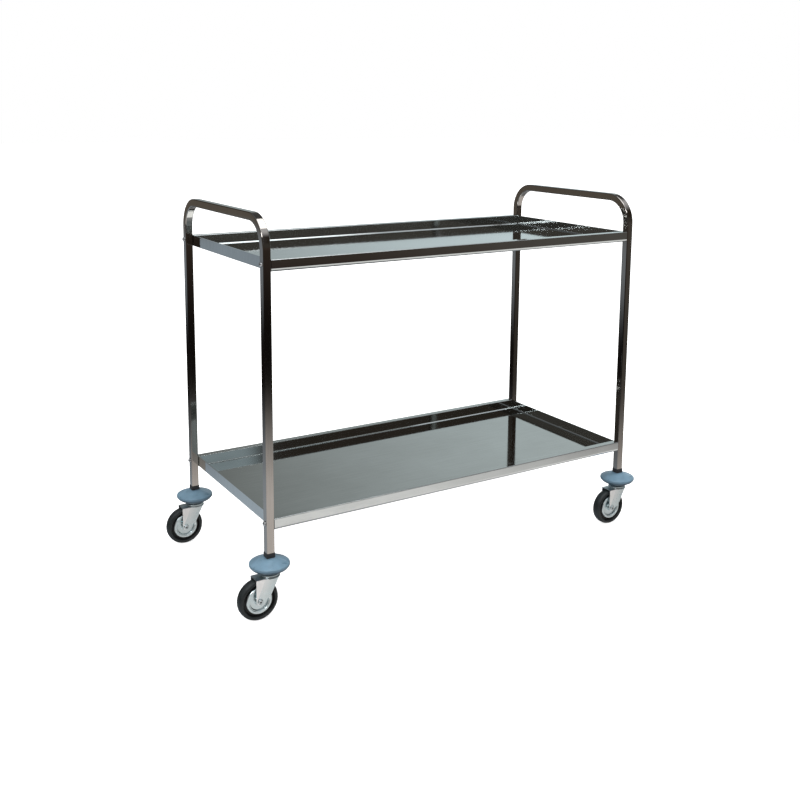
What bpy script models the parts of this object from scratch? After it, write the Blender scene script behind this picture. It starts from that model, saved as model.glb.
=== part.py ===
"""Two-shelf stainless instrument cart on four swivel casters.

The cart is long in X and deep in Y, stands on z = 0 and has its origin on the floor under the
middle of its outer box.  Two bent tube frames carry two sheet trays, which are bolted between
them.  Each leg ends in a rubber bumper and a caster: a fork that swivels about the leg's axis and
a wheel that rolls on the fork's axle.  All four casters trail towards -X.
"""
import math

import bmesh
import bpy
from mathutils import Matrix, Vector

# Overall layout
LEG_SPACING_X = 1.110
LEG_SPACING_Y = 0.500
CART_HEIGHT = 0.960
UPPER_RIM_Z = 0.8575
LOWER_RIM_Z = 0.2430
GAP = 0.0003

# Square tube of the end frames
TUBE = 0.020
TUBE_WALL = 0.0015
TUBE_CORNER = 0.0025
HANDLE_BEND = 0.070
HANDLE_BEND_STEPS = 7
LEG_FOOT_Z = 0.1300

# Sheet trays
SHEET = 0.0012
TRAY_DEPTH = 0.0270
FLANGE = TUBE
FLOOR_BEND = 0.0050
FLANGE_BEND = 0.0018
INNER_BEND = 0.0005
SKIRT_BEND = 0.0060
SKIRT_LIP = 0.0090
END_CORNER = 0.0025
END_BOTTOM_BEND = 0.0020
HEM_HEIGHT = 0.0040
HEM_THICKNESS = 0.0024
TRAY_HEIGHT = TRAY_DEPTH + SHEET
TRAY_LENGTH = LEG_SPACING_X - TUBE - 2 * GAP
TRAY_WIDTH = LEG_SPACING_Y + TUBE
PAN_WIDTH = TRAY_WIDTH - 2 * FLANGE
TANGENT_SLACK = 0.00005
CUT_MARGIN = 0.0100

# Tray bolts and nuts
BOLT_BELOW_RIM = 0.0105
BOLT_RADIUS = 0.0030
BOLT_HEAD_RADIUS = 0.0062
BOLT_HEAD_HEIGHT = 0.0052
BOLT_HEAD_EDGE = 0.0010
DOME_DEGREES = (0, 30, 60)
BOLT_PAST_NUT = 0.0015
NUT_ACROSS_FLATS = 0.0100
NUT_HEIGHT = 0.0050

# Leg collar and bumper
COLLAR_TOP_Z = 0.1600
COLLAR_WALL = 0.0006
BUMPER_RADIUS = 0.0485
BUMPER_WIDEST_Z = 0.1320
BUMPER_TOP_Z = 0.1480
BUMPER_BOTTOM_Z = 0.1130
BUMPER_NECK_RADIUS = 0.0225

# Shares of the way out along the bumper's underside, and back in along its top
UNDERSIDE_SHARES = (0.15, 0.80)
UNDERSIDE_START = 0.2
UNDERSIDE_CLIMB = 0.6
UNDERSIDE_CURVE = 1.3
TOP_SHARES = (0.07, 0.40)
TOP_CURVE = 0.42

# Swivel head
STEM_RADIUS = 0.0050
STEM_HEAD_RADIUS = 0.0080
STEM_HEAD_HEIGHT = 0.0045
STEM_HEAD_FLAT = 0.0060
PLUG_LENGTH = 0.0450
CUP_RADIUS = 0.0245
CUP_EDGE = 0.0010
RACE_RADIUS = 0.0215
RACE_HEIGHT = 0.0020

# Fork
FORK_CROWN_UNDER_Z = 0.1025
FORK_SHEET = 0.0022
FORK_CROWN_RADIUS = 0.0250
FORK_INSIDE = 0.0304
FORK_REAR = 0.0410
FORK_FRONT = 0.0170
FORK_WAIST_X = -0.0030
FORK_WAIST_Z = 0.0630
FORK_EYE_RADIUS = 0.0095

# Wheel, tyre and axle
WHEEL_RADIUS = 0.0500
WHEEL_TRAIL = 0.0320
TYRE_WIDTH = 0.0270
TYRE_RECESS_DEPTH = 0.0050
TYRE_RECESS_WIDTH = 0.0038
TYRE_WALL_START = 0.0060
TYRE_SHOULDER = 0.0030
TYRE_SHOULDER_DROP = 0.0025
TYRE_CROWN_DROP = 0.0090
RIM_RADIUS = 0.0325
RIM_WIDTH = 0.0240
RIM_DISH_DEPTH = 0.0020
RIM_DISH_RADIUS = 0.0265
RIM_RING_RADIUS = 0.0280
HUB_RADIUS = 0.0095
HUB_WIDTH = 0.0290
AXLE_RADIUS = 0.0040
AXLE_HEAD_RADIUS = 0.0068
AXLE_HEAD_HEIGHT = 0.0032
AXLE_HEAD_EDGE = 0.00128
AXLE_HEAD_FLAT = 0.00408

# Facets of the round pieces
CORNER_STEPS = 4
BOLT_SIDES = 10
STEM_SIDES = 10
HEAD_SIDES = 20
BUMPER_SIDES = 20
WHEEL_SIDES = 28
SMOOTH_ANGLE = math.radians(35)

# Heights that follow from the ones above
FORK_CROWN_TOP_Z = FORK_CROWN_UNDER_Z + FORK_SHEET
RACE_Z = FORK_CROWN_TOP_Z + GAP
CUP_Z = RACE_Z + RACE_HEIGHT + GAP
CUP_TOP_Z = BUMPER_BOTTOM_Z - GAP
FORK_OUTSIDE = FORK_INSIDE + 2 * FORK_SHEET

# The outer box runs from the trailing wheels to the bumpers at +X
CENTRE_SHIFT = (WHEEL_TRAIL + WHEEL_RADIUS - BUMPER_RADIUS) / 2


def clear_scene():
    for obj in list(bpy.data.objects):
        bpy.data.objects.remove(obj, do_unlink=True)


def material(name, colour, roughness, metallic):
    made = bpy.data.materials.new(name)
    made.use_nodes = True
    shader = made.node_tree.nodes["Principled BSDF"]
    shader.inputs["Base Color"].default_value = (*colour, 1.0)
    shader.inputs["Roughness"].default_value = roughness
    shader.inputs["Metallic"].default_value = metallic
    made.diffuse_color = (*colour, 1.0)
    return made


def rounded_outline(corners, steps=CORNER_STEPS):
    """Closed outline through (u, v, radius) corners, each corner rounded by its own radius."""
    outline = []
    for index, (u, v, radius) in enumerate(corners):
        here = Vector((u, v))
        if radius == 0:
            outline.append(here)
            continue
        before = Vector(corners[index - 1][:2]) - here
        after = Vector(corners[(index + 1) % len(corners)][:2]) - here
        before.normalize()
        after.normalize()
        half_angle = before.angle(after) / 2
        centre = here + (before + after).normalized() * radius / math.sin(half_angle)
        start = here + before * radius / math.tan(half_angle) - centre
        end = here + after * radius / math.tan(half_angle) - centre
        sweep = start.angle_signed(end)
        for step in range(steps + 1):
            turn = Matrix.Rotation(-sweep * step / steps, 2)
            outline.append(centre + turn @ start)
    return outline


def rectangle(width, height, radius, centre=(0, 0)):
    u, v = centre
    return [(u - width / 2, v - height / 2, radius), (u + width / 2, v - height / 2, radius),
            (u + width / 2, v + height / 2, radius), (u - width / 2, v + height / 2, radius)]


def circle(radius, sides, centre=(0, 0)):
    turns = [2 * math.pi * (index + 0.5) / sides for index in range(sides)]
    return [Vector((centre[0] + radius * math.cos(turn), centre[1] + radius * math.sin(turn)))
            for turn in turns]


def place_on_axis(axis, u, v, along):
    """World point of outline point (u, v) at a distance along X, Y or Z."""
    return {"X": (along, u, v), "Y": (u, along, v), "Z": (u, v, along)}[axis]


def finish_mesh(name, bm, smooth=False):
    bmesh.ops.recalc_face_normals(bm, faces=bm.faces)
    mesh = bpy.data.meshes.new(name)
    bm.to_mesh(mesh)
    bm.free()
    if smooth:
        mesh.shade_smooth()
        mesh.set_sharp_from_angle(angle=SMOOTH_ANGLE)
    return mesh


def prism(name, outline, low, high, axis):
    """Solid with a flat outline, extruded from low to high along an axis."""
    bm = bmesh.new()
    base = bm.faces.new([bm.verts.new(place_on_axis(axis, u, v, low)) for u, v in outline])
    moved = bmesh.ops.extrude_face_region(bm, geom=[base])["geom"]
    shift = Vector(place_on_axis(axis, 0, 0, high - low))
    verts = [item for item in moved if isinstance(item, bmesh.types.BMVert)]
    bmesh.ops.translate(bm, vec=shift, verts=verts)
    return finish_mesh(name, bm)


def turned(name, profile, sides, axis="Z"):
    """Solid turned about an axis from (radius, height) points.

    A profile that starts and ends on the axis makes a solid piece; any other makes a ring.
    """
    bm = bmesh.new()
    verts = [bm.verts.new((radius, 0, height)) for radius, height in profile]
    edges = [bm.edges.new(pair) for pair in zip(verts, verts[1:])]
    if profile[0][0] > 0:
        edges.append(bm.edges.new((verts[-1], verts[0])))
    bmesh.ops.rotate(bm, verts=verts, cent=(0, 0, 0), matrix=Matrix.Rotation(math.pi / sides, 3, "Z"))
    bmesh.ops.spin(bm, geom=verts + edges, cent=(0, 0, 0), axis=(0, 0, 1), angle=2 * math.pi, steps=sides)
    bmesh.ops.remove_doubles(bm, verts=bm.verts, dist=1e-6)
    if axis == "Y":
        bmesh.ops.rotate(bm, verts=bm.verts, cent=(0, 0, 0), matrix=Matrix.Rotation(math.pi / 2, 3, "X"))
    if axis == "X":
        bmesh.ops.rotate(bm, verts=bm.verts, cent=(0, 0, 0), matrix=Matrix.Rotation(math.pi / 2, 3, "Y"))
    return finish_mesh(name, bm, smooth=True)


def temporary_object(mesh):
    obj = bpy.data.objects.new(mesh.name, mesh)
    bpy.context.scene.collection.objects.link(obj)
    return obj


def combined(name, base, steps, smooth=False, extra=()):
    """Mesh made from a base mesh by (operation, mesh) Booleans, after any extra (modifier, settings)."""
    obj = temporary_object(base)
    for kind, settings in extra:
        modifier = obj.modifiers.new(kind.title(), kind)
        for key, value in settings.items():
            setattr(modifier, key, value)
    tools = []
    for operation, mesh in steps:
        tool = temporary_object(mesh)
        tools.append(tool)
        modifier = obj.modifiers.new("Boolean", "BOOLEAN")
        modifier.operation = operation
        modifier.solver = "EXACT"
        modifier.object = tool
    evaluated = obj.evaluated_get(bpy.context.evaluated_depsgraph_get())
    result = bpy.data.meshes.new_from_object(evaluated)
    result.name = name
    for used in [obj] + tools:
        bpy.data.objects.remove(used, do_unlink=True)
    if smooth:
        result.shade_smooth()
        result.set_sharp_from_angle(angle=SMOOTH_ANGLE)
    return result


def add_part(name, mesh, finish, parent, location=(0, 0, 0), rotation_z=0.0):
    if not mesh.materials:
        mesh.materials.append(finish)
    obj = bpy.data.objects.new(name, mesh)
    bpy.context.scene.collection.objects.link(obj)
    obj.parent = parent
    obj.location = location
    obj.rotation_euler = (0, 0, rotation_z)
    return obj


def add_empty(name, parent, location):
    empty = bpy.data.objects.new(name, None)
    bpy.context.scene.collection.objects.link(empty)
    empty.parent = parent
    empty.location = location
    return empty


# End frames

def tube_skin(name):
    """Outer skin of the U-shaped tube: up one leg, round two bends and down the other leg."""
    bend_z = CART_HEIGHT - TUBE / 2 - HANDLE_BEND
    leg_y = LEG_SPACING_Y / 2
    bm = bmesh.new()
    outline = rounded_outline(rectangle(TUBE, TUBE, TUBE_CORNER, (0, -leg_y)), steps=2)
    verts = [bm.verts.new((u, v, LEG_FOOT_Z)) for u, v in outline]
    ring = [bm.edges.new((vert, verts[(index + 1) % len(verts)])) for index, vert in enumerate(verts)]

    def run(ring, shift):
        moved = bmesh.ops.extrude_edge_only(bm, edges=ring)["geom"]
        verts = [item for item in moved if isinstance(item, bmesh.types.BMVert)]
        bmesh.ops.translate(bm, vec=shift, verts=verts)
        return [item for item in moved if isinstance(item, bmesh.types.BMEdge)]

    def bend(ring, centre):
        verts = list({vert for edge in ring for vert in edge.verts})
        made = bmesh.ops.spin(bm, geom=verts + ring, cent=centre, axis=(-1, 0, 0), angle=math.pi / 2,
                              steps=HANDLE_BEND_STEPS)
        return [item for item in made["geom_last"] if isinstance(item, bmesh.types.BMEdge)]

    ring = run(ring, (0, 0, bend_z - LEG_FOOT_Z))
    ring = bend(ring, (0, -leg_y + HANDLE_BEND, bend_z))
    ring = run(ring, (0, LEG_SPACING_Y - 2 * HANDLE_BEND, 0))
    ring = bend(ring, (0, leg_y - HANDLE_BEND, bend_z))
    run(ring, (0, 0, LEG_FOOT_Z - bend_z))
    bmesh.ops.recalc_face_normals(bm, faces=bm.faces)
    bm.faces.ensure_lookup_table()
    first = bm.faces[0]
    if first.normal.dot(first.calc_center_median() - Vector((0, -leg_y, LEG_FOOT_Z))) < 0:
        bmesh.ops.reverse_faces(bm, faces=bm.faces)
    mesh = bpy.data.meshes.new(name)
    bm.to_mesh(mesh)
    bm.free()
    return mesh


def bolt_places():
    """Heights and sides (y, z) of the four bolts in each frame."""
    return [(side * LEG_SPACING_Y / 2, rim - BOLT_BELOW_RIM)
            for rim in (UPPER_RIM_Z, LOWER_RIM_Z) for side in (-1, 1)]


def end_frame_mesh():
    hole = BOLT_RADIUS + GAP
    holes = [("DIFFERENCE", prism("hole", circle(hole, BOLT_SIDES, place), -TUBE, TUBE, "X"))
             for place in bolt_places()]
    wall = ("SOLIDIFY", {"thickness": TUBE_WALL, "offset": -1.0, "use_even_offset": True, "use_rim": True})
    return combined("end_frame", tube_skin("end_frame_skin"), holes, smooth=True, extra=[wall])


# Trays

def tray_block():
    """Outer envelope of a tray, the common part of its three outlines."""
    half_length = TRAY_LENGTH / 2
    half_width = TRAY_WIDTH / 2
    across = rounded_outline([(-half_width, 0, SKIRT_BEND), (half_width, 0, SKIRT_BEND),
                              (half_width, TRAY_HEIGHT, FLANGE_BEND),
                              (-half_width, TRAY_HEIGHT, FLANGE_BEND)])
    along = rounded_outline([(-half_length, 0, END_BOTTOM_BEND), (half_length, 0, END_BOTTOM_BEND),
                             (half_length, TRAY_HEIGHT, INNER_BEND),
                             (-half_length, TRAY_HEIGHT, INNER_BEND)])
    plan = rounded_outline(rectangle(TRAY_LENGTH, TRAY_WIDTH, END_CORNER))
    reach = half_length + CUT_MARGIN
    side_reach = half_width + CUT_MARGIN
    return (prism("tray_across", across, -reach, reach, "X"),
            [("INTERSECT", prism("tray_along", along, -side_reach, side_reach, "Y")),
             ("INTERSECT", prism("tray_plan", plan, -CUT_MARGIN, TRAY_HEIGHT + CUT_MARGIN, "Z"))])


def tray_interior():
    """The space inside the pan, with bends along the floor and rolled edges along the flanges."""
    half_pan = PAN_WIDTH / 2
    top = TRAY_HEIGHT + TANGENT_SLACK
    above = TRAY_HEIGHT + CUT_MARGIN
    flare = half_pan + FLANGE / 2
    end = TRAY_LENGTH / 2 - SHEET
    hem = TRAY_LENGTH / 2 - HEM_THICKNESS
    hem_z = TRAY_HEIGHT - HEM_HEIGHT
    across = rounded_outline([(-half_pan, SHEET, FLOOR_BEND), (half_pan, SHEET, FLOOR_BEND),
                              (half_pan, top, FLANGE_BEND), (flare, top, 0), (flare, above, 0),
                              (-flare, above, 0), (-flare, top, 0), (-half_pan, top, FLANGE_BEND)])
    along = rounded_outline([(-end, SHEET, FLOOR_BEND), (end, SHEET, FLOOR_BEND), (end, hem_z, 0),
                             (hem, hem_z, INNER_BEND), (hem, above, 0), (-hem, above, 0),
                             (-hem, hem_z, INNER_BEND), (-end, hem_z, 0)])
    shape = combined("tray_interior", prism("pan_across", across, -end - SHEET / 2, end + SHEET / 2, "X"),
                     [("INTERSECT", prism("pan_along", along, -half_pan - FLANGE, half_pan + FLANGE, "Y"))])
    return ("DIFFERENCE", shape)


def tray_channel(side):
    """The space between the pan's wall and the skirt, open at the bottom between floor and lip."""
    wall = PAN_WIDTH / 2 + SHEET
    skirt = TRAY_WIDTH / 2 - SHEET
    lip = TRAY_WIDTH / 2 - SKIRT_LIP
    roof = TRAY_HEIGHT - SHEET
    floor_end = wall - 2 * FLOOR_BEND
    corners = [(wall, roof, INNER_BEND), (wall, -TANGENT_SLACK, FLOOR_BEND + SHEET),
               (floor_end, -TANGENT_SLACK, 0), (floor_end, -CUT_MARGIN, 0), (lip, -CUT_MARGIN, 0),
               (lip, SHEET, 0), (skirt, SHEET, SKIRT_BEND - SHEET), (skirt, roof, INNER_BEND)]
    outline = rounded_outline([(side * u, v, radius) for u, v, radius in corners])
    reach = TRAY_LENGTH / 2 - SHEET
    return ("DIFFERENCE", prism("channel", outline, -reach, reach, "X"))


def tray_holes():
    hole = BOLT_RADIUS + GAP
    bolt_z = TRAY_HEIGHT - BOLT_BELOW_RIM
    steps = []
    for end in (-1, 1):
        for side in (-1, 1):
            outline = circle(hole, BOLT_SIDES, (side * LEG_SPACING_Y / 2, bolt_z))
            low, high = sorted((end * (TRAY_LENGTH / 2 - CUT_MARGIN), end * (TRAY_LENGTH / 2 + CUT_MARGIN)))
            steps.append(("DIFFERENCE", prism("hole", outline, low, high, "X")))
    return steps


def tray_mesh():
    block, steps = tray_block()
    steps = steps + [tray_interior(), tray_channel(-1), tray_channel(1)] + tray_holes()
    return combined("tray", block, steps, smooth=True)


# Tray bolts and nuts, pointing along +X from the leg's outer face

def tray_bolt_mesh():
    length = TUBE + GAP + SHEET + GAP + NUT_HEIGHT + BOLT_PAST_NUT
    dome_height = BOLT_HEAD_HEIGHT - BOLT_HEAD_EDGE
    dome = [(BOLT_HEAD_RADIUS * math.cos(turn), -GAP - BOLT_HEAD_EDGE - dome_height * math.sin(turn))
            for turn in (math.radians(degrees) for degrees in DOME_DEGREES)]
    profile = [(0, -GAP - BOLT_HEAD_HEIGHT)] + dome[::-1] + [(BOLT_HEAD_RADIUS, -GAP), (BOLT_RADIUS, -GAP),
                                                            (BOLT_RADIUS, length), (0, length)]
    return turned("tray_bolt", profile, BOLT_SIDES, "X")


def hex_nut_mesh(name, across_flats, height, hole_radius, axis):
    corner = across_flats / 2 / math.cos(math.pi / 6)
    body = prism(name, circle(corner, 6), 0, height, axis)
    hole = prism("nut_hole", circle(hole_radius, BOLT_SIDES), -height, 2 * height, axis)
    return combined(name, body, [("DIFFERENCE", hole)])


# Caster pieces, on the swivel axis with z measured from the floor

def collar_mesh():
    inside = TUBE + 2 * GAP
    outside = inside + 2 * COLLAR_WALL
    low = BUMPER_TOP_Z + GAP
    sleeve = prism("collar", rounded_outline(rectangle(outside, outside, TUBE_CORNER), steps=2),
                   low, COLLAR_TOP_Z, "Z")
    bore = prism("collar_bore", rounded_outline(rectangle(inside, inside, TUBE_CORNER), steps=2),
                 low - CUT_MARGIN, COLLAR_TOP_Z + CUT_MARGIN, "Z")
    return combined("leg_collar", sleeve, [("DIFFERENCE", bore)], smooth=True)


def bumper_mesh():
    """Rubber disc with a domed top, a rounded rim and an underside that curves in to the neck."""
    bore = STEM_RADIUS + GAP
    socket = TUBE + 2 * GAP
    boss = socket * math.sqrt(2) / 2
    widest = BUMPER_RADIUS / math.cos(math.pi / BUMPER_SIDES)
    top_rise = BUMPER_TOP_Z - BUMPER_WIDEST_Z
    under_drop = BUMPER_WIDEST_Z - BUMPER_BOTTOM_Z
    profile = [(bore, BUMPER_BOTTOM_Z), (BUMPER_NECK_RADIUS, BUMPER_BOTTOM_Z)]
    for share in UNDERSIDE_SHARES:
        radius = BUMPER_NECK_RADIUS + (widest - BUMPER_NECK_RADIUS) * share
        climb = UNDERSIDE_START + UNDERSIDE_CLIMB * share ** UNDERSIDE_CURVE
        profile.append((radius, BUMPER_BOTTOM_Z + under_drop * climb))
    profile.append((widest, BUMPER_WIDEST_Z))
    for share in TOP_SHARES:
        radius = widest - (widest - boss) * share
        profile.append((radius, BUMPER_WIDEST_Z + top_rise * share ** TOP_CURVE))
    profile += [(boss, BUMPER_TOP_Z), (bore, BUMPER_TOP_Z)]
    body = turned("bumper", profile, BUMPER_SIDES)
    pocket = prism("bumper_socket", rounded_outline(rectangle(socket, socket, TUBE_CORNER), steps=2),
                   LEG_FOOT_Z - GAP, BUMPER_TOP_Z + CUT_MARGIN, "Z")
    return combined("bumper", body, [("DIFFERENCE", pocket)], smooth=True)


def stem_mesh():
    """Rivet under the crown, round shank and the square plug that fills the leg's end."""
    head_top = FORK_CROWN_UNDER_Z - GAP
    head_bottom = head_top - STEM_HEAD_HEIGHT
    plug_low = LEG_FOOT_Z + GAP
    plug_width = TUBE - 2 * TUBE_WALL - 2 * GAP
    shank_top = plug_low + CUT_MARGIN
    profile = [(0, head_bottom), (STEM_HEAD_FLAT, head_bottom),
               (STEM_HEAD_RADIUS, head_bottom + STEM_HEAD_HEIGHT / 2), (STEM_HEAD_RADIUS, head_top),
               (STEM_RADIUS, head_top), (STEM_RADIUS, shank_top), (0, shank_top)]
    shank = turned("stem_shank", profile, STEM_SIDES)
    plug = prism("stem_plug", rounded_outline(rectangle(plug_width, plug_width, TUBE_WALL), steps=2),
                 plug_low, plug_low + PLUG_LENGTH, "Z")
    return combined("caster_stem", shank, [("UNION", plug)], smooth=True)


def cup_mesh():
    bore = STEM_RADIUS + GAP
    profile = [(bore, CUP_Z), (CUP_RADIUS - CUP_EDGE, CUP_Z), (CUP_RADIUS, CUP_Z + CUP_EDGE),
               (CUP_RADIUS, CUP_TOP_Z - 2 * CUP_EDGE), (CUP_RADIUS - 2 * CUP_EDGE, CUP_TOP_Z),
               (bore, CUP_TOP_Z)]
    return turned("swivel_cup", profile, HEAD_SIDES)


def race_mesh():
    bore = STEM_RADIUS + GAP
    profile = [(bore, RACE_Z), (RACE_RADIUS, RACE_Z), (RACE_RADIUS, RACE_Z + RACE_HEIGHT),
               (bore, RACE_Z + RACE_HEIGHT)]
    return turned("ball_race", profile, HEAD_SIDES)


def fork_arm(side):
    """Arm outline in X and Z: straight behind, sloping in front, round about the axle."""
    eye = Vector((-WHEEL_TRAIL, WHEEL_RADIUS))
    waist = Vector((FORK_WAIST_X, FORK_WAIST_Z))
    reach = waist - eye
    tangent = math.atan2(reach.y, reach.x) - math.acos(FORK_EYE_RADIUS / reach.length)
    steps = 2 * CORNER_STEPS
    round_end = []
    for step in range(steps + 1):
        turn = math.pi + (2 * math.pi + tangent - math.pi) * step / steps
        round_end.append(eye + FORK_EYE_RADIUS * Vector((math.cos(turn), math.sin(turn))))
    crown_z = FORK_CROWN_TOP_Z - FORK_SHEET / 2
    outline = [Vector((-WHEEL_TRAIL - FORK_EYE_RADIUS, crown_z))] + round_end
    outline += [waist, Vector((FORK_FRONT, FORK_CROWN_UNDER_Z)), Vector((FORK_FRONT, crown_z))]
    low, high = sorted((side * FORK_INSIDE / 2, side * FORK_OUTSIDE / 2))
    return ("UNION", prism("fork_arm", outline, low, high, "Y"))


def fork_mesh():
    """Pressed fork: a crown plate that is round about the swivel axis, and two arms."""
    half = FORK_OUTSIDE / 2
    corner = math.asin(half / FORK_CROWN_RADIUS)
    crown = [Vector((-FORK_REAR, -half))]
    steps = 4 * CORNER_STEPS
    for step in range(steps + 1):
        turn = -math.pi + corner + (2 * math.pi - 2 * corner) * step / steps
        crown.append(FORK_CROWN_RADIUS * Vector((math.cos(turn), math.sin(turn))))
    crown.append(Vector((-FORK_REAR, half)))
    plate = prism("fork_crown", crown, FORK_CROWN_UNDER_Z, FORK_CROWN_TOP_Z, "Z")
    stem_hole = prism("fork_stem_hole", circle(STEM_RADIUS + GAP, STEM_SIDES),
                      FORK_CROWN_UNDER_Z - CUT_MARGIN, FORK_CROWN_TOP_Z + CUT_MARGIN, "Z")
    axle_hole = prism("fork_axle_hole", circle(AXLE_RADIUS + GAP, BOLT_SIDES, (-WHEEL_TRAIL, WHEEL_RADIUS)),
                      -FORK_OUTSIDE, FORK_OUTSIDE, "Y")
    return combined("fork", plate, [fork_arm(-1), fork_arm(1), ("DIFFERENCE", stem_hole),
                                    ("DIFFERENCE", axle_hole)], smooth=True)


# Wheel pieces, with their origin at the axle's middle

def mirrored_profile(half):
    return half + [(radius, -height) for radius, height in reversed(half)]


def tyre_mesh():
    """Rubber tyre with round shoulders and a recess beside the rim; its flats touch the wheel's circle."""
    outer = WHEEL_RADIUS / math.cos(math.pi / WHEEL_SIDES)
    bore = RIM_RADIUS + GAP
    half_width = TYRE_WIDTH / 2
    recess = half_width - TYRE_RECESS_DEPTH
    half = [(bore, recess), (bore + TYRE_RECESS_WIDTH, recess), (bore + TYRE_WALL_START, half_width),
            (outer - TYRE_SHOULDER, half_width - TYRE_SHOULDER_DROP), (outer, half_width - TYRE_CROWN_DROP)]
    return turned("tyre", mirrored_profile(half), WHEEL_SIDES, "Y")


def rim_mesh():
    """Steel wheel centre with a hub, a pressed groove and a raised outer ring."""
    bore = AXLE_RADIUS + GAP
    half_hub = HUB_WIDTH / 2
    half_rim = RIM_WIDTH / 2
    dish = half_rim - RIM_DISH_DEPTH
    half = [(bore, half_hub), (HUB_RADIUS, half_hub), (HUB_RADIUS, dish), (RIM_DISH_RADIUS, dish),
            (RIM_RING_RADIUS, half_rim), (RIM_RADIUS, half_rim)]
    return turned("wheel_rim", mirrored_profile(half), HEAD_SIDES, "Y")


def axle_bolt_mesh():
    """Axle bolt with its domed head at -Y."""
    seat = FORK_OUTSIDE / 2 + GAP
    length = seat + NUT_HEIGHT + BOLT_PAST_NUT
    profile = [(0, -seat - AXLE_HEAD_HEIGHT), (AXLE_HEAD_FLAT, -seat - AXLE_HEAD_HEIGHT),
               (AXLE_HEAD_RADIUS, -seat - AXLE_HEAD_EDGE), (AXLE_HEAD_RADIUS, -seat),
               (AXLE_RADIUS, -seat), (AXLE_RADIUS, length), (0, length)]
    return turned("axle_bolt", [(radius, -height) for radius, height in profile], BOLT_SIDES, "Y")


def cart_materials():
    return {
        "frame": material("frame_steel", (0.56, 0.56, 0.57), 0.22, 1.0),
        "tray": material("tray_steel", (0.62, 0.63, 0.65), 0.24, 1.0),
        "bolt": material("bolt_steel", (0.60, 0.60, 0.61), 0.25, 1.0),
        "collar": material("collar_plastic", (0.03, 0.03, 0.035), 0.5, 0.0),
        "bumper": material("bumper_rubber", (0.22, 0.35, 0.47), 0.45, 0.0),
        "zinc": material("zinc_plate", (0.62, 0.65, 0.66), 0.3, 1.0),
        "race": material("race_steel", (0.10, 0.10, 0.11), 0.5, 1.0),
        "tyre": material("tyre_rubber", (0.035, 0.042, 0.045), 0.55, 0.0),
    }


def add_tray_fasteners(root, frame_name, end, finishes, meshes):
    """Four bolts from the frame's outer side, and their nuts inside the trays' channels."""
    outward = end * (LEG_SPACING_X / 2 + TUBE / 2)
    nut_x = outward - end * (TUBE + GAP + SHEET + GAP)
    turn = 0.0 if end < 0 else math.pi
    names = [f"{tray}_tray_{{}}_{frame_name}_{side}"
             for tray in ("upper", "lower") for side in ("front", "rear")]
    for name, (y, z) in zip(names, bolt_places()):
        add_part(name.format("bolt"), meshes["tray_bolt"], finishes["bolt"], root, (outward, y, z), turn)
        add_part(name.format("nut"), meshes["tray_nut"], finishes["bolt"], root, (nut_x, y, z), turn)


def add_caster(root, name, x, y, finishes, meshes):
    swivel = add_empty(f"{name}_swivel_axis", root, (x, y, 0))
    pieces = [("leg_collar", "collar"), ("bumper", "bumper"), ("caster_stem", "zinc"),
              ("swivel_cup", "zinc"), ("ball_race", "race"), ("fork", "zinc")]
    for piece, finish in pieces:
        add_part(f"{name}_{piece}", meshes[piece], finishes[finish], swivel)
    axle = add_empty(f"{name}_axle", swivel, (-WHEEL_TRAIL, 0, WHEEL_RADIUS))
    add_part(f"{name}_axle_bolt", meshes["axle_bolt"], finishes["zinc"], axle)
    add_part(f"{name}_axle_nut", meshes["axle_nut"], finishes["zinc"], axle, (0, FORK_OUTSIDE / 2 + GAP, 0))
    add_part(f"{name}_wheel_rim", meshes["wheel_rim"], finishes["zinc"], axle)
    add_part(f"{name}_tyre", meshes["tyre"], finishes["tyre"], axle)


def main():
    clear_scene()
    finishes = cart_materials()
    meshes = {
        "tray_bolt": tray_bolt_mesh(),
        "tray_nut": hex_nut_mesh("tray_nut", NUT_ACROSS_FLATS, NUT_HEIGHT, BOLT_RADIUS + GAP, "X"),
        "leg_collar": collar_mesh(),
        "bumper": bumper_mesh(),
        "caster_stem": stem_mesh(),
        "swivel_cup": cup_mesh(),
        "ball_race": race_mesh(),
        "fork": fork_mesh(),
        "axle_bolt": axle_bolt_mesh(),
        "axle_nut": hex_nut_mesh("axle_nut", 2 * AXLE_HEAD_RADIUS, NUT_HEIGHT, AXLE_RADIUS + GAP, "Y"),
        "wheel_rim": rim_mesh(),
        "tyre": tyre_mesh(),
    }
    root = add_empty("cart", None, (CENTRE_SHIFT, 0, 0))
    frame = end_frame_mesh()
    tray = tray_mesh()
    add_part("left_frame", frame, finishes["frame"], root, (-LEG_SPACING_X / 2, 0, 0))
    add_part("right_frame", frame, finishes["frame"], root, (LEG_SPACING_X / 2, 0, 0))
    add_part("upper_tray", tray, finishes["tray"], root, (0, 0, UPPER_RIM_Z - TRAY_HEIGHT))
    add_part("lower_tray", tray, finishes["tray"], root, (0, 0, LOWER_RIM_Z - TRAY_HEIGHT))
    for frame_name, end in (("left", -1), ("right", 1)):
        add_tray_fasteners(root, frame_name, end, finishes, meshes)
        for side_name, side in (("front", -1), ("rear", 1)):
            add_caster(root, f"{side_name}_{frame_name}", end * LEG_SPACING_X / 2, side * LEG_SPACING_Y / 2,
                       finishes, meshes)


main()
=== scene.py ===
import math

import bmesh
import bpy
from mathutils import Matrix, Vector


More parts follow.
